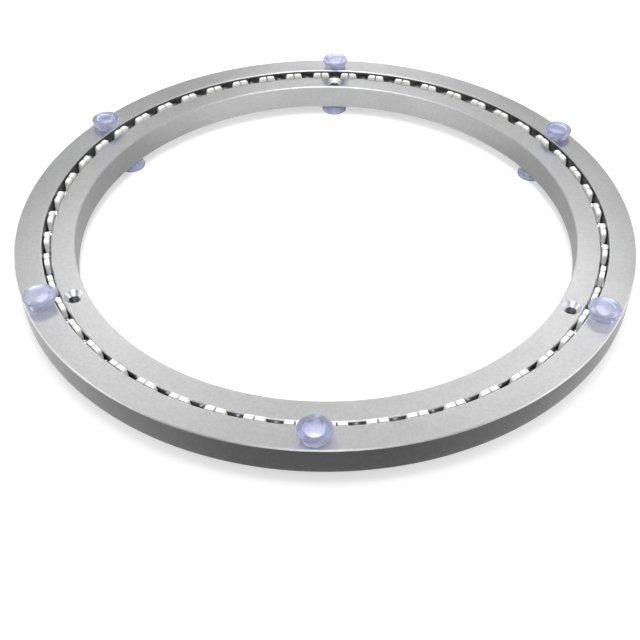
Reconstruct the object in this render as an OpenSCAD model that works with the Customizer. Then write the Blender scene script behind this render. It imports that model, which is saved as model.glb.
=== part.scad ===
// Lazy susan turntable bearing: a turning ring on a fixed base ring, with a
// caged row of balls between them, clear bumper pads on top and clear feet
// below. Millimetres. +Z is the turning axis and points up. The origin is on
// that axis, in the plane of the feet's free faces.

/* [Rings] */
// Outside diameter of the turning ring
outer_d = 300; // [240:5:500]
// Radial width of the turning ring
outer_wall = 12.6; // [11:0.2:20]
// Radial width of the base ring
inner_wall = 11.2; // [10.4:0.2:20]
// Radial gap between the two rings
ring_gap = 3.6; // [3:0.1:4.4]
// Thickness of each ring
ring_t = 13.5; // [12.5:0.5:20]
// How far the turning ring stands above the base ring
ring_step = 2.4; // [0:0.2:3]
// Chamfer on the rings' edges
edge_chamfer = 0.5; // [0.2:0.1:0.8]

/* [Balls and cage] */
// Diameter of a ball
ball_d = 7; // [6:0.5:8.5]
// Radial clearance between a ball and its races
race_clearance = 0.08; // [0.02:0.01:0.1]
// Distance from one ball to the next along their circle
ball_pitch = 16.4; // [14:0.1:30]
// Radial clearance between a ball and its pocket
pocket_clearance = 0.15; // [0.05:0.05:0.3]
// Width of a pocket's mouth in the cage's top edge
pocket_mouth = 7.7; // [6.5:0.1:9.5]
// Share of the ball's diameter left open where the pocket grips it
pocket_grip = 0.88; // [0.8:0.01:0.95]
// Clearance between the cage and the base ring
cage_in_clearance = 0.5; // [0.3:0.1:0.7]
// Clearance between the cage and the turning ring
cage_out_clearance = 0.8; // [0.3:0.1:0.9]
// Depth of the cage's top edge below the turning ring's top
cage_drop = 1; // [0.5:0.1:2]
// Thickness of the cage's band below the balls
cage_band = 1.7; // [1:0.1:2]
// Width of the flex slit between two pockets
slit_w = 0.6; // [0.4:0.1:1.2]
// Depth of that slit
slit_depth = 5; // [2:0.5:6]

/* [Bumper pads and feet] */
// Diameter of a pad's rim
pad_rim_d = 14.5; // [13:0.5:18]
// Diameter of a pad where it seats on its ring
pad_base_d = 11.6; // [11:0.1:12.5]
// Height of a pad
pad_h = 4.8; // [4.6:0.1:8]
// Height of a pad's straight rim band
pad_band = 1.3; // [0.8:0.1:2]
// Diameter of the dish in a pad's free face
dish_d = 9.2; // [6:0.1:10]
// Depth of that dish
dish_depth = 0.4; // [0.2:0.1:0.6]
// Distance from the turning ring's outside to a top pad's axis
top_pad_inset = 7.3; // [6.5:0.1:8]
// Distance from the base ring's outside to a foot's axis
foot_inset = 5.2; // [5:0.1:5.8]

/* [Studs and screw holes] */
// Nominal diameter of a pad's threaded stud
stud_d = 5; // [4:0.5:5.5]
// Length of a stud below its pad
stud_l = 8.5; // [6:0.5:9]
// Diameter of the stud's head inside the pad
head_d = 8.4; // [7:0.1:9]
// Thickness of that head
head_h = 1.6; // [1:0.1:1.8]
// Thickness of pad between the head and the pad's free face
head_cover = 1.3; // [1:0.1:1.6]
// Depth of a tapped hole that does not go through
hole_depth = 10; // [9.5:0.5:11]
// Diameter of the chamfer at a tapped hole's mouth
mouth_d = 6.2; // [6:0.1:7]
// Diameter of the countersinks in the base ring's top
sink_d = 9; // [7:0.1:9.2]

/* [Hidden] */
$fn = 96;
pad_count = 6;
pad_turn = 30;

outer_r = outer_d / 2;
outer_bore_r = outer_r - outer_wall;
inner_r = outer_bore_r - ring_gap;
inner_bore_r = inner_r - inner_wall;
top_pad_r = outer_r - top_pad_inset;
foot_r = inner_r - foot_inset;

base_z = pad_h;
base_top_z = base_z + ring_t;
turn_top_z = base_top_z + ring_step;
turn_z = turn_top_z - ring_t;

// The balls run half way up the height that both rings share.
ball_r = ball_d / 2;
ball_circle_r = (outer_bore_r + inner_r) / 2;
ball_z = (turn_z + base_top_z) / 2;
ball_count = round(2 * PI * ball_circle_r / ball_pitch);
ball_step = 360 / ball_count;
race_r = ball_r + race_clearance;

cage_in_r = inner_r + cage_in_clearance;
cage_out_r = outer_bore_r - cage_out_clearance;
cage_wall = cage_out_r - cage_in_r;
cage_top_z = turn_top_z - cage_drop;
pocket_r = ball_r + pocket_clearance;
cage_z = ball_z - pocket_r - cage_band;
grip_half = pocket_grip * ball_r;
grip_lip = 0.3;
cage_chamfer = 0.2;

head_top = pad_h - head_cover;
rim_chamfer = 0.3;
stud_chamfer = 0.6;
// How far a cutting shape reaches past the face that it opens
past = 1;

PADS = [for (i = [1 : pad_count]) i];

// A ring of rectangular section with chamfered edges
module chamfered_ring(in_r, out_r, low_z, high_z, c) {
    rotate_extrude($fn = 180)
        polygon([
            [in_r + c, low_z], [out_r - c, low_z], [out_r, low_z + c], [out_r, high_z - c],
            [out_r - c, high_z], [in_r + c, high_z], [in_r, high_z - c], [in_r, low_z + c]
        ]);
}

// The torus that the balls sweep, as each ring's race is cut
module race() {
    rotate_extrude($fn = 180)
        translate([ball_circle_r, ball_z]) circle(r = race_r);
}

// Puts its children at the seat of pad i on a circle of radius r. Their +Z
// points away from the ring: up on top, and down under the base ring.
module at_pad(i, r, z, down = false) {
    rotate([0, 0, pad_turn + (i - 1) * 360 / pad_count])
        translate([r, 0, z])
            mirror([0, 0, down ? 1 : 0]) children();
}

// A tapped hole that starts at z = 0 and goes down, with its mouth chamfer
module tapped_hole(depth) {
    translate([0, 0, -depth]) cylinder(h = depth + past, d = stud_d);
    translate([0, 0, -(mouth_d - stud_d) / 2])
        cylinder(h = (mouth_d - stud_d) / 2, d1 = stud_d, d2 = mouth_d);
}

// The cone of a countersunk screw's head, below z = 0
module countersink() {
    sink_h = (sink_d - stud_d) / 2;
    translate([0, 0, -sink_h]) cylinder(h = sink_h, d1 = stud_d, d2 = sink_d);
    cylinder(h = past, d = sink_d);
}

module outer_ring() {
    color([0.78, 0.78, 0.79])
        difference() {
            chamfered_ring(outer_bore_r, outer_r, turn_z, turn_top_z, edge_chamfer);
            race();
            for (i = PADS) at_pad(i, top_pad_r, turn_top_z) tapped_hole(hole_depth);
        }
}

// Every second foot's hole goes through, to take a screw from above instead.
module inner_ring() {
    color([0.80, 0.80, 0.81])
        difference() {
            chamfered_ring(inner_bore_r, inner_r, base_z, base_top_z, edge_chamfer);
            race();
            for (i = PADS)
                at_pad(i, foot_r, base_z, down = true)
                    tapped_hole(i % 2 == 0 ? ring_t + past : hole_depth);
            for (i = PADS)
                if (i % 2 == 0) at_pad(i, foot_r, base_top_z) countersink();
        }
}

// The room of one pocket, on +X: a round seat for the ball, and a way in from
// above that grips it and then flares
module pocket() {
    grip_z = sqrt(pow(pocket_r, 2) - pow(grip_half, 2)) + grip_lip;
    mouth_z = cage_top_z - ball_z;
    translate([cage_in_r - past, 0, ball_z])
        rotate([90, 0, 90]) {
            cylinder(h = cage_wall + 2 * past, r = pocket_r);
            linear_extrude(cage_wall + 2 * past)
                polygon([
                    [-grip_half, 0], [grip_half, 0], [grip_half, grip_z],
                    [pocket_mouth / 2, mouth_z], [pocket_mouth / 2, mouth_z + past],
                    [-pocket_mouth / 2, mouth_z + past], [-pocket_mouth / 2, mouth_z],
                    [-grip_half, grip_z]
                ]);
        }
}

// The slit that lets the two fingers beside it bend, on +X
module flex_slit() {
    translate([cage_in_r - past, -slit_w / 2, cage_top_z - slit_depth])
        cube([cage_wall + 2 * past, slit_w, slit_depth + past]);
}

module ball_cage() {
    color([0.95, 0.95, 0.93])
        difference() {
            chamfered_ring(cage_in_r, cage_out_r, cage_z, cage_top_z, cage_chamfer);
            for (k = [0 : ball_count - 1]) rotate([0, 0, k * ball_step]) pocket();
            for (k = [0 : ball_count - 1]) rotate([0, 0, (k + 0.5) * ball_step]) flex_slit();
        }
}

module bearing_balls() {
    color([0.75, 0.76, 0.78])
        for (k = [0 : ball_count - 1])
            rotate([0, 0, k * ball_step])
                translate([ball_circle_r, 0, ball_z]) sphere(d = ball_d, $fn = 32);
}

// A threaded stud with a round head, seated at z = 0
module stud() {
    color([0.72, 0.73, 0.75])
        rotate_extrude()
            polygon([
                [0, -stud_l], [stud_d / 2 - stud_chamfer, -stud_l],
                [stud_d / 2, stud_chamfer - stud_l], [stud_d / 2, head_top - head_h],
                [head_d / 2, head_top - head_h], [head_d / 2, head_top], [0, head_top]
            ]);
}

// The room that a stud takes inside its pad
module stud_room() {
    translate([0, 0, -past]) cylinder(h = past + head_top - head_h, d = stud_d);
    translate([0, 0, head_top - head_h]) cylinder(h = head_h, d = head_d);
}

// A clear pad moulded round its stud's head, wider at its free face
module pad() {
    color([0.80, 0.80, 0.95, 0.6])
        difference() {
            rotate_extrude()
                polygon([
                    [0, 0], [pad_base_d / 2, 0], [pad_rim_d / 2 - 0.1, pad_h - pad_band],
                    [pad_rim_d / 2, pad_h - pad_band + 0.2], [pad_rim_d / 2, pad_h - rim_chamfer],
                    [pad_rim_d / 2 - rim_chamfer, pad_h], [0, pad_h]
                ]);
            stud_room();
            translate([0, 0, pad_h - dish_depth])
                cylinder(h = dish_depth + past, d1 = dish_d - 2 * dish_depth, d2 = dish_d + 2 * past);
        }
}

outer_ring();
inner_ring();
ball_cage();
bearing_balls();
for (i = PADS) {
    at_pad(i, top_pad_r, turn_top_z) pad();
    at_pad(i, top_pad_r, turn_top_z) stud();
    at_pad(i, foot_r, base_z, true) pad();
    at_pad(i, foot_r, base_z, true) stud();
}
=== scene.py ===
import math

import bmesh
import bpy
import numpy as np
from mathutils import Matrix, Vector


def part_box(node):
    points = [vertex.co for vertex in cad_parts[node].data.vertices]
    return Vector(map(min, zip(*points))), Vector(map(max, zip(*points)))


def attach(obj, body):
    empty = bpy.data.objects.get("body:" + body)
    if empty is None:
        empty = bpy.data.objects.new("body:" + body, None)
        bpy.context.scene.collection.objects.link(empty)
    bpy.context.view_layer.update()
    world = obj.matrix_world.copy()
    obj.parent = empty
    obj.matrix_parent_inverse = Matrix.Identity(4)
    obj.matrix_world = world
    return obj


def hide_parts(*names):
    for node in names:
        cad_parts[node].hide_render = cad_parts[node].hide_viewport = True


# Looks of a lazy susan turntable bearing: two turned aluminium rings, a moulded
# ball cage between them, and clear pads with threaded studs above and below.
# Sizes here are in millimetres, and bare_object() turns them into metres.

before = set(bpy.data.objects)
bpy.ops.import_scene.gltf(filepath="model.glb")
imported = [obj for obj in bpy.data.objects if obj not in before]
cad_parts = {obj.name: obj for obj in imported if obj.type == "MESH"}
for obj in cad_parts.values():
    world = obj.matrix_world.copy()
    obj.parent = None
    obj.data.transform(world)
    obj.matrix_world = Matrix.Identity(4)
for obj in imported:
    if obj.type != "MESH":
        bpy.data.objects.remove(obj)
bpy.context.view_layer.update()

MM = 0.001


# ---- Sizes taken from the frame ----

def corners(node):
    """Lowest and highest corner of a CAD node, in millimetres."""
    low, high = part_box(node)
    return np.array(low) / MM, np.array(high) / MM


def radii(node):
    """Least and greatest distance of a CAD node's surface from the turning axis."""
    points = np.array([v.co[:2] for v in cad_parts[node].data.vertices]) / MM
    r = np.hypot(points[:, 0], points[:, 1])
    return r.min(), r.max()


PADS = range(1, 7)
outer_low, outer_high = (c[2] for c in corners("outer_ring"))
inner_low, inner_high = (c[2] for c in corners("inner_ring"))
outer_in, outer_out = radii("outer_ring")
inner_in, inner_out = radii("inner_ring")
cage_low, cage_high = (c[2] for c in corners("ball_cage"))
cage_in, cage_out = radii("ball_cage")
balls_low, balls_high = corners("bearing_balls")
ball_r = (balls_high[2] - balls_low[2]) / 2
ball_z = (balls_high[2] + balls_low[2]) / 2
ball_circle = balls_high[0] - ball_r
pad_low, pad_high = corners("top_pad_2")
pad_rim_r = (pad_high[0] - pad_low[0]) / 2
pad_h = pad_high[2] - pad_low[2]
ring_t = inner_high - inner_low
stud_low, stud_high = corners("top_stud_2")
stud_end = stud_low[2] - outer_high
head_top = stud_high[2] - outer_high
head_r = (stud_high[0] - stud_low[0]) / 2

# Sizes that the frame's boxes don't give
CHAMFER = 0.5
RACE_CLEARANCE = 0.08
BALL_COUNT = 52
STUD_R = 2.5
THREAD_PITCH = 0.8
THREAD_DEPTH = 0.42
HEAD_H = 1.6
HOLE_DEPTH = 10
MOUTH_R = 3.1
SINK_R = 4.5
SINK_H = SINK_R - STUD_R
PAD_BASE_R = 5.8
PAD_BAND = 1.3
DISH_R = 4.6
DISH_DEPTH = 0.4
POCKET_CLEARANCE = 0.15
POCKET_GRIP_HALF = 3.08
POCKET_LIP = 0.3
POCKET_MOUTH_HALF = 3.85
SLIT_HALF = 0.3
SLIT_DEPTH = 5
# How far a cone that opens a face is carried past it
CUT_PAST = 0.5
# Angle of the first pad, and from one pad to the next, in degrees
PAD_TURN = 30
PAD_STEP = 60


# ---- Mesh code ----

def soften(points, radius, steps=3):
    """A closed or open outline with each sharp corner rounded."""
    points = [np.array(p, float) for p in points]
    made = []
    for i, p in enumerate(points):
        a, b = points[i - 1] - p, points[(i + 1) % len(points)] - p
        la, lb = np.linalg.norm(a), np.linalg.norm(b)
        if la < 1e-9 or lb < 1e-9 or p[0] < 1e-9:
            made.append(p)
            continue
        a, b = a / la, b / lb
        turn = math.pi - math.acos(max(-1, min(1, float(a @ b))))
        if turn < math.radians(20):
            made.append(p)
            continue
        reach = min(radius * math.tan(turn / 2), la * 0.45, lb * 0.45)
        r = reach / math.tan(turn / 2)
        middle = p + (a + b) / np.linalg.norm(a + b) * math.hypot(reach, r)
        start, end = p + a * reach - middle, p + b * reach - middle
        first = math.atan2(start[1], start[0])
        sweep = math.atan2(end[1], end[0]) - first
        sweep = (sweep + math.pi) % (2 * math.pi) - math.pi
        for k in range(steps + 1):
            t = first + sweep * k / steps
            made.append(middle + r * np.array([math.cos(t), math.sin(t)]))
    return made


def turned(outline, steps, closed=True):
    """Vertices and faces of an (r, z) outline turned about Z. A closed outline
    makes a ring, and an open one starts and ends on the axis."""
    verts, rings = [], []
    for r, z in outline:
        if r < 1e-9:
            rings.append([len(verts)] * steps)
            verts.append((0, 0, z))
            continue
        rings.append(list(range(len(verts), len(verts) + steps)))
        for j in range(steps):
            t = 2 * math.pi * j / steps
            verts.append((r * math.cos(t), r * math.sin(t), z))
    faces = []
    for i in range(len(rings) if closed else len(rings) - 1):
        low, high = rings[i], rings[(i + 1) % len(rings)]
        for j in range(steps):
            k = (j + 1) % steps
            face = [low[j], low[k], high[k], high[j]]
            kept = [v for n, v in enumerate(face) if v != face[n - 1]]
            if len(kept) > 2:
                faces.append(kept)
    return verts, faces


def joined(*parts):
    """Several lots of vertices and faces as one."""
    verts, faces = [], []
    for v, f in parts:
        base = len(verts)
        verts += [tuple(p) for p in v]
        faces += [[base + i for i in face] for face in f]
    return verts, faces


def moved(part, matrix):
    """A copy of some vertices and faces, moved by a matrix."""
    verts, faces = part
    made = [tuple(matrix @ Vector(v)) for v in verts]
    if matrix.determinant() < 0:
        faces = [list(reversed(f)) for f in faces]
    return made, faces


def set_up(obj, sharp_deg, weighted):
    """Smooth shading, broken at sharp edges, with flat faces kept flat."""
    obj.data.shade_smooth()
    obj.data.set_sharp_from_angle(angle=math.radians(sharp_deg))
    if weighted:
        mod = obj.modifiers.new("flat_faces", "WEIGHTED_NORMAL")
        mod.keep_sharp = True
        mod.weight = 80
        apply_modifiers(obj)


def apply_modifiers(obj):
    """Bakes an object's modifiers into its mesh."""
    graph = bpy.context.evaluated_depsgraph_get()
    made = bpy.data.meshes.new_from_object(
        obj.evaluated_get(graph), preserve_all_data_layers=True, depsgraph=graph)
    obj.modifiers.clear()
    obj.data = made


def bare_object(name, part, merge=0.0):
    """An object from vertices and faces in millimetres, with outward normals."""
    verts, faces = part
    mesh = bpy.data.meshes.new(name)
    mesh.from_pydata([[c * MM for c in v] for v in verts], [], faces)
    bm = bmesh.new()
    bm.from_mesh(mesh)
    if merge:
        bmesh.ops.remove_doubles(bm, verts=bm.verts, dist=merge * MM)
        bmesh.ops.dissolve_degenerate(bm, edges=bm.edges, dist=merge * MM)
    bmesh.ops.recalc_face_normals(bm, faces=bm.faces)
    bm.to_mesh(mesh)
    bm.free()
    obj = bpy.data.objects.new(name, mesh)
    bpy.context.scene.collection.objects.link(obj)
    return obj


def taken_back(obj):
    """The vertices and faces of an object, in millimetres. The object is removed."""
    part = ([tuple(v.co / MM) for v in obj.data.vertices], [list(p.vertices) for p in obj.data.polygons])
    bpy.data.objects.remove(obj)
    return part


def drilled(obj, cutter):
    """Cuts one object out of another, and removes the cutter."""
    mod = obj.modifiers.new("holes", "BOOLEAN")
    mod.operation = "DIFFERENCE"
    mod.solver = "EXACT"
    mod.object = cutter
    apply_modifiers(obj)
    bpy.data.objects.remove(cutter)


def place(obj, body, materials, nodes=()):
    """Gives a piece its body, its materials and the nodes it stands for."""
    for m in materials:
        obj.data.materials.append(m)
    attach(obj, body)
    if nodes:
        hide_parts(*nodes)


def seat(i, node, down=False):
    """The matrix that puts a piece made about Z on the seat of pad i."""
    low, high = corners(node)
    x, y = (low[0] + high[0]) / 2, (low[1] + high[1]) / 2
    z = inner_low if down else outer_high
    turn = Matrix.Rotation(math.radians(PAD_TURN + PAD_STEP * (i - 1)), 4, "Z")
    flip = Matrix.Scale(-1, 4, (0, 0, 1)) if down else Matrix.Identity(4)
    return Matrix.Translation((x, y, z)) @ turn @ flip


# ---- Materials ----

def new_material(name):
    """An empty node material. Returns it, its nodes, its links and its shader."""
    m = bpy.data.materials.new(name)
    m.use_nodes = True
    nodes, links = m.node_tree.nodes, m.node_tree.links
    return m, nodes, links, nodes["Principled BSDF"]


def noise(nodes, links, vector, scale, detail=2.0, rough=0.5, w=None):
    """A noise texture's value output."""
    n = nodes.new("ShaderNodeTexNoise")
    n.inputs["Scale"].default_value = scale
    n.inputs["Detail"].default_value = detail
    n.inputs["Roughness"].default_value = rough
    if w is not None:
        n.noise_dimensions = "4D"
        links.new(w, n.inputs["W"])
    links.new(vector, n.inputs["Vector"])
    return n.outputs["Fac"]


def remap(nodes, links, value, low, high, to_low, to_high):
    """A value mapped from one range to another, and held inside it."""
    n = nodes.new("ShaderNodeMapRange")
    for key, v in zip(("From Min", "From Max", "To Min", "To Max"), (low, high, to_low, to_high)):
        n.inputs[key].default_value = v
    links.new(value, n.inputs["Value"])
    return n.outputs["Result"]


def calc(nodes, links, operation, a, b=0.0):
    """A Math node on two values, each a socket or a number."""
    n = nodes.new("ShaderNodeMath")
    n.operation = operation
    for socket, v in zip(n.inputs, (a, b)):
        if isinstance(v, (int, float)):
            socket.default_value = v
        else:
            links.new(v, socket)
    return n.outputs["Value"]


def tint(nodes, links, fac, first, second):
    """A colour between two, by a value."""
    n = nodes.new("ShaderNodeMix")
    n.data_type = "RGBA"
    n.inputs["A"].default_value = (*first, 1)
    n.inputs["B"].default_value = (*second, 1)
    links.new(fac, n.inputs["Factor"])
    return n.outputs["Result"]


def bump(nodes, links, height, distance, normal=None):
    """A bump of a given depth in metres."""
    n = nodes.new("ShaderNodeBump")
    n.inputs["Distance"].default_value = distance
    links.new(height, n.inputs["Height"])
    if normal is not None:
        links.new(normal, n.inputs["Normal"])
    return n.outputs["Normal"]


def object_point(nodes):
    """The point on an object in its own frame, in metres."""
    return nodes.new("ShaderNodeTexCoord").outputs["Object"]


def from_axis(nodes, links, point):
    """A point's x, y and z, and its distance from the turning axis."""
    split = nodes.new("ShaderNodeSeparateXYZ")
    links.new(point, split.inputs["Vector"])
    x, y, z = split.outputs
    squares = [calc(nodes, links, "MULTIPLY", c, c) for c in (x, y)]
    return x, y, z, calc(nodes, links, "SQRT", calc(nodes, links, "ADD", *squares))


def round_the_axis(nodes, links, point, across, along):
    """Coordinates for marks that run round the turning axis: fine across them, and
    long along them. Returns a vector and a fourth number."""
    x, y, z, r = from_axis(nodes, links, point)
    join = nodes.new("ShaderNodeCombineXYZ")
    links.new(calc(nodes, links, "MULTIPLY", r, across), join.inputs["X"])
    for c, name in ((x, "Y"), (y, "Z")):
        direction = calc(nodes, links, "DIVIDE", c, r)
        links.new(calc(nodes, links, "MULTIPLY", direction, along), join.inputs[name])
    return join.outputs["Vector"], calc(nodes, links, "MULTIPLY", z, across)


def aluminium(name, dark, light, rough_low, rough_high, grain):
    """Turned and blasted aluminium: fine grain, faint turning marks, and stains."""
    m, nodes, links, shader = new_material(name)
    point = object_point(nodes)
    vector, fourth = round_the_axis(nodes, links, point, 2600, 9)
    marks = noise(nodes, links, vector, 1.0, 3, 0.6, fourth)
    specks = noise(nodes, links, point, 2200, 3, 0.65)
    stain = noise(nodes, links, point, 22, 4, 0.6)
    wide = noise(nodes, links, point, 7, 2, 0.5)
    mottle = noise(nodes, links, point, 620, 3, 0.65)
    fine = calc(nodes, links, "ADD", remap(nodes, links, mottle, 0.3, 0.7, 0.0, 0.45),
                remap(nodes, links, specks, 0.25, 0.75, 0.0, 0.25))
    tone = calc(nodes, links, "ADD", remap(nodes, links, stain, 0.3, 0.7, 0.0, 0.3), fine)
    links.new(tint(nodes, links, tone, dark, light), shader.inputs["Base Color"])
    rub = calc(nodes, links, "ADD", remap(nodes, links, marks, 0.3, 0.7, 0.0, 0.4),
               remap(nodes, links, wide, 0.35, 0.65, 0.0, 0.6))
    links.new(remap(nodes, links, rub, 0, 1, rough_low, rough_high), shader.inputs["Roughness"])
    shader.inputs["Metallic"].default_value = 1.0
    shader.inputs["Anisotropic"].default_value = 0.7
    tangent = nodes.new("ShaderNodeTangent")
    tangent.direction_type = "RADIAL"
    tangent.axis = "Z"
    links.new(tangent.outputs["Tangent"], shader.inputs["Tangent"])
    normal = bump(nodes, links, specks, 0.00006 * grain)
    links.new(bump(nodes, links, marks, 0.00003 * grain, normal=normal), shader.inputs["Normal"])
    return m


def nylon():
    """Natural moulded nylon, slightly see-through at its edges."""
    m, nodes, links, shader = new_material("cage_nylon")
    point = object_point(nodes)
    cloud = noise(nodes, links, point, 60, 3, 0.5)
    pores = noise(nodes, links, point, 1600, 2, 0.5)
    tone = remap(nodes, links, cloud, 0.3, 0.7, 0, 1)
    links.new(tint(nodes, links, tone, (0.83, 0.83, 0.80), (0.93, 0.93, 0.91)), shader.inputs["Base Color"])
    links.new(remap(nodes, links, pores, 0.3, 0.7, 0.30, 0.45), shader.inputs["Roughness"])
    shader.inputs["Subsurface Weight"].default_value = 0.25
    shader.inputs["Subsurface Radius"].default_value = (0.0012, 0.0012, 0.0011)
    shader.inputs["Subsurface Scale"].default_value = 1.0
    shader.inputs["IOR"].default_value = 1.53
    links.new(bump(nodes, links, pores, 0.00002), shader.inputs["Normal"])
    return m


def steel(name, dark, light, rough_low, rough_high, scratch_scale):
    """Bright steel with fine scratches."""
    m, nodes, links, shader = new_material(name)
    point = object_point(nodes)
    scratches = noise(nodes, links, point, scratch_scale, 4, 0.7)
    haze = noise(nodes, links, point, 180, 2, 0.5)
    tone = remap(nodes, links, haze, 0.3, 0.7, 0, 1)
    links.new(tint(nodes, links, tone, dark, light), shader.inputs["Base Color"])
    links.new(remap(nodes, links, scratches, 0.3, 0.7, rough_low, rough_high), shader.inputs["Roughness"])
    shader.inputs["Metallic"].default_value = 1.0
    links.new(bump(nodes, links, scratches, 0.00001), shader.inputs["Normal"])
    return m


def clear_pvc():
    """Soft clear plastic with a faint violet tint, a little milky, with a handled surface."""
    m, nodes, links, shader = new_material("pad_clear_pvc")
    point = object_point(nodes)
    ripple = noise(nodes, links, point, 260, 2, 0.5)
    scuffs = noise(nodes, links, point, 900, 3, 0.6)
    tone = remap(nodes, links, ripple, 0.3, 0.7, 0, 1)
    links.new(tint(nodes, links, tone, (0.61, 0.63, 0.97), (0.72, 0.74, 1.0)), shader.inputs["Base Color"])
    links.new(remap(nodes, links, scuffs, 0.35, 0.7, 0.05, 0.13), shader.inputs["Roughness"])
    shader.inputs["Transmission Weight"].default_value = 0.8
    shader.inputs["IOR"].default_value = 1.42
    shader.inputs["Subsurface Weight"].default_value = 1.0
    shader.inputs["Subsurface Radius"].default_value = (0.008, 0.008, 0.010)
    shader.inputs["Subsurface Scale"].default_value = 1.0
    links.new(bump(nodes, links, ripple, 0.00003), shader.inputs["Normal"])
    return m


face_metal = aluminium("ring_faces", (0.42, 0.42, 0.425), (0.57, 0.57, 0.575), 0.27, 0.36, 1.0)
# Lighter metal for chamfers and cones: a painted highlight along the edges
edge_highlight_metal = aluminium("ring_painted_highlight", (0.80, 0.80, 0.805), (0.90, 0.90, 0.905), 0.30, 0.40, 0.4)
# Dark metal: painted shade for the race, the walls facing the gap and the holes
painted_shade_metal = aluminium("ring_painted_shade", (0.16, 0.16, 0.165), (0.28, 0.28, 0.285), 0.24, 0.40, 0.6)
cage_plastic = nylon()
ball_steel = steel("ball_steel", (0.62, 0.63, 0.65), (0.72, 0.73, 0.75), 0.05, 0.14, 2400)
stud_steel = steel("stud_steel", (0.50, 0.51, 0.54), (0.64, 0.65, 0.68), 0.22, 0.38, 3000)
pad_plastic = clear_pvc()


# ---- Rings ----

RING_STEPS = 360
RING_METALS = [face_metal, edge_highlight_metal, painted_shade_metal]
FACE, EDGE, DARK = range(len(RING_METALS))


def ring_outline(in_r, out_r, low, high, race_inside):
    """A ring's section: chamfered edges, and the race in the wall next to the balls."""
    race_r = ball_r + RACE_CLEARANCE
    wall = in_r if race_inside else out_r
    half = math.acos((wall - ball_circle) / race_r)
    if race_inside:
        angles = np.linspace(half, -half, 17)
    else:
        angles = np.linspace(2 * math.pi - half, half, 17)
    race = [(ball_circle + race_r * math.cos(t), ball_z + race_r * math.sin(t)) for t in angles]
    c = CHAMFER
    right = [(out_r - c, low), (out_r, low + c), (out_r, high - c), (out_r - c, high)]
    left = [(in_r + c, high), (in_r, high - c), (in_r, low + c), (in_r + c, low)]
    if race_inside:
        left[2:2] = race
    else:
        right[2:2] = race
    return soften(right + left, 0.07, 3)


def hole_cutter(sunk=False):
    """The room of a tapped hole, from its mouth at z = 0 down, with the mouth's chamfer.
    A sunk hole goes on through the ring to a countersink."""
    outline = [(0, -HOLE_DEPTH), (STUD_R, -HOLE_DEPTH), (STUD_R, STUD_R - MOUTH_R),
               (MOUTH_R + CUT_PAST, CUT_PAST), (0, CUT_PAST)]
    if sunk:
        end = -ring_t - CUT_PAST
        outline[:2] = [(0, end), (SINK_R + CUT_PAST, end), (STUD_R, SINK_H - ring_t)]
    return turned(outline, 64, closed=False)


def colour_faces(obj, low, high, in_r, out_r, wall):
    """Puts the lighter edge metal, a painted highlight, on chamfers and cones, and the dark
    metal, painted shade, on the race, on the wall around it, and in the holes."""
    race_r = ball_r + RACE_CLEARANCE
    for p in obj.data.polygons:
        x, y, z = (c / MM for c in p.center)
        r = math.hypot(x, y)
        reach = math.hypot(r - ball_circle, z - ball_z)
        edge = min(z - low, high - z)
        below_edges = edge > CHAMFER * 0.9
        # The race and the wall facing the gap take the dark metal, painted shade
        if abs(reach - race_r) < 0.08 or abs(r - wall) < 0.01 and below_edges:
            p.material_index = DARK
        # Chamfers and cones take the lighter metal, a painted highlight
        elif edge > 0.004 and 0.2 < abs(p.normal.z) < 0.98:
            p.material_index = EDGE
        # Hole walls inside the ring take the dark metal too, painted shade
        elif below_edges and in_r + CHAMFER < r < out_r - CHAMFER:
            p.material_index = DARK
        else:
            p.material_index = FACE


def make_turning_ring():
    """The turning ring, with its race and its pads' tapped holes."""
    outline = ring_outline(outer_in, outer_out, outer_low, outer_high, True)
    ring = bare_object("turning_ring", turned(outline, RING_STEPS))
    cutters = [moved(hole_cutter(), seat(i, f"top_pad_{i}")) for i in PADS]
    drilled(ring, bare_object("turning_ring_cutter", joined(*cutters)))
    place(ring, "turntable", RING_METALS, ["outer_ring"])
    colour_faces(ring, outer_low, outer_high, outer_in, outer_out, outer_in)
    set_up(ring, 40, True)


def make_base_ring():
    """The base ring, with its race, its feet's tapped holes, and every second one sunk."""
    outline = ring_outline(inner_in, inner_out, inner_low, inner_high, False)
    ring = bare_object("base_ring", turned(outline, RING_STEPS))
    cutters = [moved(hole_cutter(sunk=i % 2 == 0), seat(i, f"foot_pad_{i}", down=True)) for i in PADS]
    drilled(ring, bare_object("base_ring_cutter", joined(*cutters)))
    place(ring, "base", RING_METALS, ["inner_ring"])
    colour_faces(ring, inner_low, inner_high, inner_in, inner_out, inner_out)
    set_up(ring, 40, True)


make_turning_ring()
make_base_ring()


# ---- Threads ----

THREAD_STEPS = 32
THREAD_MERGE = 0.0005
# Parts of a pitch where the thread's section turns, and its height there
THREAD_TURNS = ((0.0, 0), (0.125, 0), (0.4375, 1), (0.5625, 1), (0.875, 0), (1.0, 0))


def thread_height(t):
    """Share of the thread's depth at t pitches along it."""
    return float(np.interp(t % 1, [a for a, _ in THREAD_TURNS], [b for _, b in THREAD_TURNS]))


def threaded(low, high, crest_r, root_r, steps, taper=0.0):
    """The open surface of a helical thread from low to high. taper shortens its
    crests towards low, as a chamfered end does."""
    marks = [b for b, _ in THREAD_TURNS[1:-1]]
    turns = int(math.ceil((high - low) / THREAD_PITCH)) + 1
    rows = [n + b for n in range(-1, turns + 1) for b in marks]
    verts, faces = [], []
    for j in range(steps):
        t = 2 * math.pi * j / steps
        for row in rows:
            along = row + j / steps
            z = low + along * THREAD_PITCH
            held = min(max(z, low), high)
            height = thread_height(row + (held - z) / THREAD_PITCH)
            r = root_r + (crest_r - root_r) * height
            if taper:
                r = min(r, crest_r - taper + (held - low))
            verts.append((r * math.cos(t), r * math.sin(t), held))
    count = len(rows)
    for j in range(steps):
        shift = len(marks) if j == steps - 1 else 0
        for k in range(count - 1 - shift):
            a = j * count + k
            b = ((j + 1) % steps) * count + k + shift
            faces.append([a, b, b + 1, a + 1])
    return verts, faces


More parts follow.
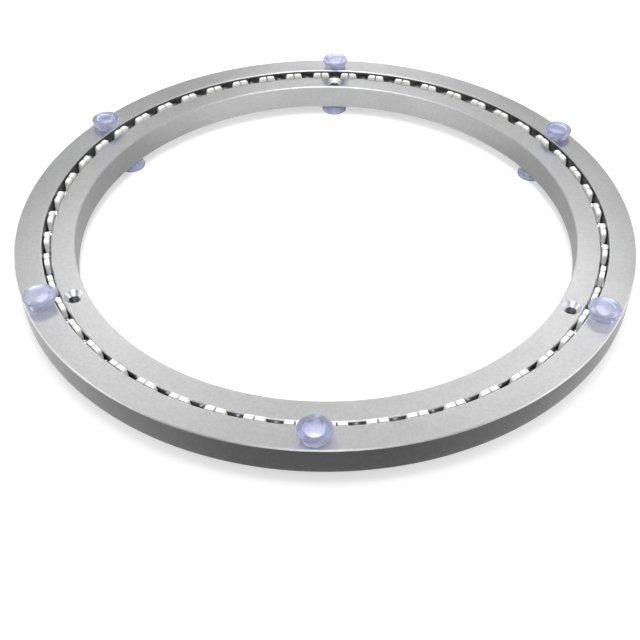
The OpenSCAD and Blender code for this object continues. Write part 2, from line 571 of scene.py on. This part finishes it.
def close_ends(obj):
    """Fills the open rims of a mesh."""
    bm = bmesh.new()
    bm.from_mesh(obj.data)
    rims = [e for e in bm.edges if e.is_boundary]
    bmesh.ops.holes_fill(bm, edges=rims, sides=0)
    bmesh.ops.recalc_face_normals(bm, faces=bm.faces)
    bm.to_mesh(obj.data)
    bm.free()


def stud_part():
    """A threaded stud's shank and its round head, seated at z = 0."""
    low = head_top - HEAD_H
    thread = threaded(stud_end, low + 0.3, STUD_R - 0.03, STUD_R - THREAD_DEPTH, THREAD_STEPS, taper=0.6)
    shank = bare_object("shank", thread, merge=THREAD_MERGE)
    close_ends(shank)
    rim = soften([(0, low), (head_r, low), (head_r, head_top), (0, head_top)], 0.25)[1:-1]
    head = turned([(0, low)] + rim + [(0, head_top)], 64, closed=False)
    return joined(taken_back(shank), head)


def make_screw_hole_threads():
    """The ridge of each sunk hole's thread, above its foot's stud, set into the wall, in the dark metal
    that paints shade in the hole.
    """
    low, high = inner_low - stud_end + 0.1, inner_high - SINK_H
    thread = threaded(low, high, STUD_R + 0.02, STUD_R - 0.34, THREAD_STEPS)
    ridge = taken_back(bare_object("ridge", thread, merge=THREAD_MERGE))
    for i in PADS[1::2]:
        a, b = corners(f"foot_pad_{i}")
        middle = Matrix.Translation(((a[0] + b[0]) / 2, (a[1] + b[1]) / 2, 0))
        lining = bare_object(f"screw_hole_{i}_thread", moved(ridge, middle))
        # The thread in the hole takes the dark metal, painted shade
        place(lining, "base", [painted_shade_metal])
        set_up(lining, 40, False)


# ---- Pads and studs ----

def pad_outline():
    """A pad's outline from its seat, up its side, round its rim and into its dish."""
    lift = 0.015  # keeps the pad's seat just clear of the ring's face
    dish_z = pad_h - DISH_DEPTH
    nub_r, nub_h = 0.62, 0.06
    points = [
        (0, lift), (PAD_BASE_R, lift), (pad_rim_r - 0.1, pad_h - PAD_BAND),
        (pad_rim_r, pad_h - PAD_BAND + 0.2), (pad_rim_r, pad_h - 0.3), (pad_rim_r - 0.3, pad_h),
        (DISH_R, pad_h), (DISH_R - DISH_DEPTH, dish_z), (nub_r + 0.08, dish_z),
        (nub_r, dish_z + nub_h), (0, dish_z + nub_h),
    ]
    return [points[0]] + soften(points, 0.25, 4)[1:-1] + [points[-1]]


def make_pads():
    """Each pad and foot, clear round its stud's head. A clear pad casts no shadow, so
    that the metal below shows through it as bright as it is."""
    outline = pad_outline()
    stud = stud_part()
    for i in PADS:
        for level, body, down in (("top", "turntable", False), ("foot", "base", True)):
            spot = seat(i, f"{level}_pad_{i}", down)
            pad = bare_object(f"{level}_pad_{i}_moulded", moved(turned(outline, 96, closed=False), spot))
            place(pad, body, [pad_plastic], [f"{level}_pad_{i}"])
            set_up(pad, 60, True)
            pad.visible_shadow = False
            screw = bare_object(f"{level}_stud_{i}_threaded", moved(stud, spot))
            place(screw, body, [stud_steel], [f"{level}_stud_{i}"])
            set_up(screw, 40, False)


make_screw_hole_threads()
make_pads()


# ---- Ball cage ----

def cage_half():
    """Half a pocket's pitch of the cage, from the slit's middle plane to the pocket's.
    Each row runs from the slit's side to the pocket's side at one height."""
    mean = (cage_in + cage_out) / 2
    reach = math.pi * mean / BALL_COUNT
    pocket_r = ball_r + POCKET_CLEARANCE
    grip = math.acos(POCKET_GRIP_HALF / pocket_r)
    grip_z = ball_z + pocket_r * math.sin(grip)
    slit_z = cage_high - SLIT_DEPTH
    slit_round, pocket_round = 0.4, 1.1
    levels = [cage_low, (cage_low + ball_z - pocket_r) / 2]
    levels += [ball_z + pocket_r * math.sin(t) for t in np.linspace(-math.pi / 2, grip, 13)]
    levels += [slit_z, slit_z + 0.04, slit_z + 0.13, slit_z + SLIT_HALF]
    levels += [grip_z + POCKET_LIP, (grip_z + cage_high) / 2]
    levels += [cage_high - pocket_round * (1 - math.sin(math.radians(a))) for a in (0, 20, 40, 60, 75, 90)]
    levels = sorted(set(round(z, 4) for z in levels))

    def rounding(z, r):
        up = max(0.0, z - (cage_high - r))
        return r - math.sqrt(max(0.0, r ** 2 - up ** 2))

    def slit_side(z):
        w = min(max(z - slit_z, 0.0), SLIT_HALF)
        return -reach + math.sqrt(SLIT_HALF ** 2 - (SLIT_HALF - w) ** 2) + rounding(z, slit_round)

    def pocket_side(z):
        if z <= ball_z - pocket_r + 1e-4:
            return 0.0
        if z <= grip_z:
            return -math.sqrt(max(0.0, pocket_r ** 2 - (z - ball_z) ** 2))
        top = grip_z + POCKET_LIP
        share = max(0.0, (z - top) / (cage_high - top))
        flare = (POCKET_MOUTH_HALF - POCKET_GRIP_HALF) * share
        return -(POCKET_GRIP_HALF + flare) - rounding(z, pocket_round)

    left = np.array([(slit_side(z), z) for z in levels])
    right = np.array([(pocket_side(z), z) for z in levels])
    first_slit = max(k for k, z in enumerate(levels) if z <= slit_z + 1e-4)
    first_pocket = max(k for k, z in enumerate(levels) if z <= ball_z - pocket_r + 1e-3)
    columns = 4

    def inward(points, k, first, sign):
        """Direction into the plastic from a side's point."""
        if k < first:
            return np.zeros(2)
        if k == first:
            return np.array([0.0, -1.0])
        a = points[k - 1]
        b = points[min(k + 1, len(points) - 1)]
        d = (b - a) / np.linalg.norm(b - a)
        if k == len(points) - 1:
            return np.array([0.0, -1.0])
        return np.array([sign * d[1], -sign * d[0]])

    def layer(inset):
        """The grid of (s, z) points with its rims moved inwards."""
        grid = []
        for k in range(len(levels)):
            a = left[k] + inset * inward(left, k, first_slit, 1)
            b = right[k] + inset * inward(right, k, first_pocket, -1)
            row = [a + (b - a) * c / (columns - 1) for c in range(columns)]
            if k == 0:
                row = [p + np.array([0.0, inset]) for p in row]
            grid.append(row)
        return grid

    corner = 0.22
    bend = corner * (1 - math.sqrt(0.5))
    stack = [(cage_in, corner), (cage_in + bend, bend), (cage_in + corner, 0),
             (cage_out - corner, 0), (cage_out - bend, bend), (cage_out, corner)]
    rows, last = len(levels), columns - 1
    verts = []
    for r, inset in stack:
        for row in layer(inset):
            for s, z in row:
                t = s / mean
                verts.append((r * math.cos(t), r * math.sin(t), z))

    def at(n, k, col):
        return (n * rows + k) * columns + col

    faces = []
    for k in range(rows - 1):
        for col in range(last):
            faces.append([at(0, k, col), at(0, k + 1, col), at(0, k + 1, col + 1), at(0, k, col + 1)])
            n = len(stack) - 1
            faces.append([at(n, k, col), at(n, k, col + 1), at(n, k + 1, col + 1), at(n, k + 1, col)])
    rim = [(0, col) for col in range(columns)]
    slit_rim = [(k, 0) for k in range(first_slit, rows)]
    pocket_rim = [(k, last) for k in range(first_pocket, rows)]
    top_rim = [(rows - 1, col) for col in range(columns)]
    for line in (rim, slit_rim, pocket_rim, top_rim):
        for (k0, c0), (k1, c1) in zip(line, line[1:]):
            for n in range(len(stack) - 1):
                faces.append([at(n, k0, c0), at(n, k1, c1), at(n + 1, k1, c1), at(n + 1, k0, c0)])
    used = sorted({i for f in faces for i in f})
    number = {v: n for n, v in enumerate(used)}
    return [verts[v] for v in used], [[number[v] for v in f] for f in faces]


def make_cage():
    """The whole cage, from half a pocket's pitch and its mirror image."""
    half = cage_half()
    mirrored = moved(half, Matrix.Scale(-1, 4, (0, 1, 0)))
    cells = []
    for k in range(BALL_COUNT):
        turn = Matrix.Rotation(2 * math.pi * k / BALL_COUNT, 4, "Z")
        cells += [moved(half, turn), moved(mirrored, turn)]
    cage = bare_object("ball_cage_moulded", joined(*cells), merge=0.001)
    place(cage, "cage", [cage_plastic], ["ball_cage"])
    set_up(cage, 55, True)


make_cage()
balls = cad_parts["bearing_balls"]
balls.data.materials.clear()
balls.data.materials.append(ball_steel)


# ---- Stage, light and camera ----

def card(name, verts, faces, material):
    """A level card under the object, in metres."""
    mesh = bpy.data.meshes.new(name)
    mesh.from_pydata(verts, [], faces)
    obj = bpy.data.objects.new(name, mesh)
    obj.data.materials.append(material)
    bpy.context.scene.collection.objects.link(obj)
    return obj


def matt(shader):
    """Sets a shader to a matt card's finish."""
    shader.inputs["Roughness"].default_value = 0.9
    shader.inputs["Specular IOR Level"].default_value = 0.1


def white_card(value, glow):
    """Matt white card, with a little light of its own as a light table has."""
    m, nodes, links, shader = new_material("white_card")
    grain = noise(nodes, links, object_point(nodes), 300, 2, 0.5)
    links.new(tint(nodes, links, grain, (value * 0.98,) * 3, (value,) * 3), shader.inputs["Base Color"])
    matt(shader)
    shader.inputs["Emission Color"].default_value = (1, 1, 1, 1)
    shader.inputs["Emission Strength"].default_value = glow
    return m


def graded_card(name, toward, span, curve, first, second):
    """Matt grey card that goes from one grey to another as a point's direction from
    the axis turns away from or towards a given one. span holds the two cosines where
    the change starts and ends."""
    m, nodes, links, shader = new_material(name)
    x, y, _, r = from_axis(nodes, links, object_point(nodes))
    along = [calc(nodes, links, "MULTIPLY", c, share) for c, share in zip((x, y), toward)]
    facing = calc(nodes, links, "DIVIDE", calc(nodes, links, "ADD", *along), r)
    share = calc(nodes, links, "POWER", remap(nodes, links, facing, *span, 0.0, 1.0), curve)
    links.new(tint(nodes, links, share, (first,) * 3, (second,) * 3), shader.inputs["Base Color"])
    matt(shader)
    return m


def reflected_card(name, degrees, radii_m, material):
    """A card round the axis that shows only as a reflection in the metal."""
    turns = [math.radians(a) for a in degrees]
    verts = [(r * math.cos(t), r * math.sin(t), REFLECTED_CARD_Z) for r in radii_m for t in turns]
    n = len(turns)
    obj = card(name, verts, [(i, i + n, i + n + 1, i + 1) for i in range(n - 1)], material)
    obj.visible_camera = False
    obj.visible_diffuse = False
    obj.visible_transmission = False
    obj.visible_shadow = False


def softbox(name, direction, distance, size, power):
    """A rectangular area light that faces the object from a direction."""
    data = bpy.data.lights.new(name, "AREA")
    data.shape = "RECTANGLE"
    data.size, data.size_y = size
    data.energy = power
    lamp = bpy.data.objects.new(name, data)
    toward = Vector(direction).normalized()
    lamp.location = toward * distance
    lamp.rotation_euler = (-toward).to_track_quat("-Z", "Y").to_euler()
    lamp.visible_camera = False
    bpy.context.scene.collection.objects.link(lamp)


def make_world():
    """A dim studio: a bright band at the horizon, and darker behind the camera."""
    world = bpy.data.worlds.new("studio")
    bpy.context.scene.world = world
    world.use_nodes = True
    nodes, links = world.node_tree.nodes, world.node_tree.links
    split = nodes.new("ShaderNodeSeparateXYZ")
    links.new(nodes.new("ShaderNodeTexCoord").outputs["Generated"], split.inputs["Vector"])
    ramp = nodes.new("ShaderNodeValToRGB")
    links.new(remap(nodes, links, split.outputs["Z"], -1, 1, 0, 1), ramp.inputs["Fac"])
    while len(ramp.color_ramp.elements) < len(SKY_STOPS):
        ramp.color_ramp.elements.new(0.5)
    for element, (position, value) in zip(ramp.color_ramp.elements, SKY_STOPS):
        element.position = position
        element.color = (value, value, value, 1)
    background = nodes["Background"]
    links.new(ramp.outputs["Color"], background.inputs["Color"])
    links.new(remap(nodes, links, split.outputs["Y"], -1, -0.1, 0.5, 1.0), background.inputs["Strength"])


def make_camera():
    """The camera, level across apart from a slight roll."""
    data = bpy.data.cameras.new("camera")
    data.sensor_width = 36
    data.lens = 52.63
    data.shift_x = -0.0426
    data.clip_start = 0.01
    data.clip_end = 50
    camera = bpy.data.objects.new("camera", data)
    bpy.context.scene.collection.objects.link(camera)
    elevation, roll = math.radians(CAMERA_ELEVATION), math.radians(CAMERA_ROLL)
    back = Vector((0, -math.cos(elevation), math.sin(elevation)))
    across = Vector((1, 0, 0))
    above = back.cross(across)
    right = across * math.cos(roll) + above * math.sin(roll)
    up = above * math.cos(roll) - across * math.sin(roll)
    location = Vector((*CAMERA_TARGET, outer_high * MM)) + back * CAMERA_DISTANCE
    axes = Matrix((right, up, back)).transposed().to_4x4()
    turn = Matrix.Rotation(math.radians(CAMERA_TURN), 4, "Z")
    camera.matrix_world = turn @ Matrix.Translation(location) @ axes
    bpy.context.scene.camera = camera


FLOOR_HALF = 6
FLOOR_Z = -0.0002
REFLECTED_CARD_Z = 0.0002
# Height up the sky from 0 at the nadir to 1 at the zenith, and its brightness
SKY_STOPS = ((0.0, 0.30), (0.49, 0.55), (0.52, 1.40), (0.60, 0.60), (0.70, 0.22), (1.0, 0.20))
# Angles in degrees, and lengths in metres
CAMERA_ELEVATION = 43.97
CAMERA_ROLL = 1.127
CAMERA_TURN = 0.25
CAMERA_DISTANCE = 0.4067
CAMERA_TARGET = (0.010934, -0.078085)

floor_verts = [(x * FLOOR_HALF, y * FLOOR_HALF, FLOOR_Z) for x, y in ((-1, -1), (1, -1), (1, 1), (-1, 1))]
card("floor", floor_verts, [(0, 1, 2, 3)], white_card(0.64, 0.45))
reflected_card("front_flag", range(190, 366, 5), (0.153, 0.70),
               graded_card("graded_card", (0.07, -0.998), (1.0, 0.35), 1.1, 0.135, 0.78))
reflected_card("inner_card", range(0, 361, 5), (0.04, 0.1215),
               graded_card("inner_card", (0.0, 1.0), (0.62, 0.86), 1.0, 0.52, 0.82))

softbox("overhead", (0, 0.02, 1), 1.5, (0.8, 0.8), 14)
softbox("front_top", (0, -0.45, 0.89), 1.4, (0.9, 0.5), 2.4)
softbox("back_right", (0.23, 0.67, 0.70), 1.3, (0.42, 0.42), 1.45)
softbox("back_left", (-0.27, 0.66, 0.70), 1.3, (0.42, 0.42), 1.35)
softbox("front_fill", (0, -0.72, 0.69), 1.3, (0.45, 0.40), 2.0)
softbox("right_side", (0.86, -0.12, 0.50), 1.3, (0.8, 0.5), 3.0)
softbox("left_side", (-0.86, -0.12, 0.50), 1.3, (0.8, 0.5), 3.0)
softbox("back_low", (0, 0.90, 0.40), 1.3, (0.32, 0.26), 0.62)
make_world()
make_camera()
bpy.context.scene.view_settings.view_transform = "Standard"
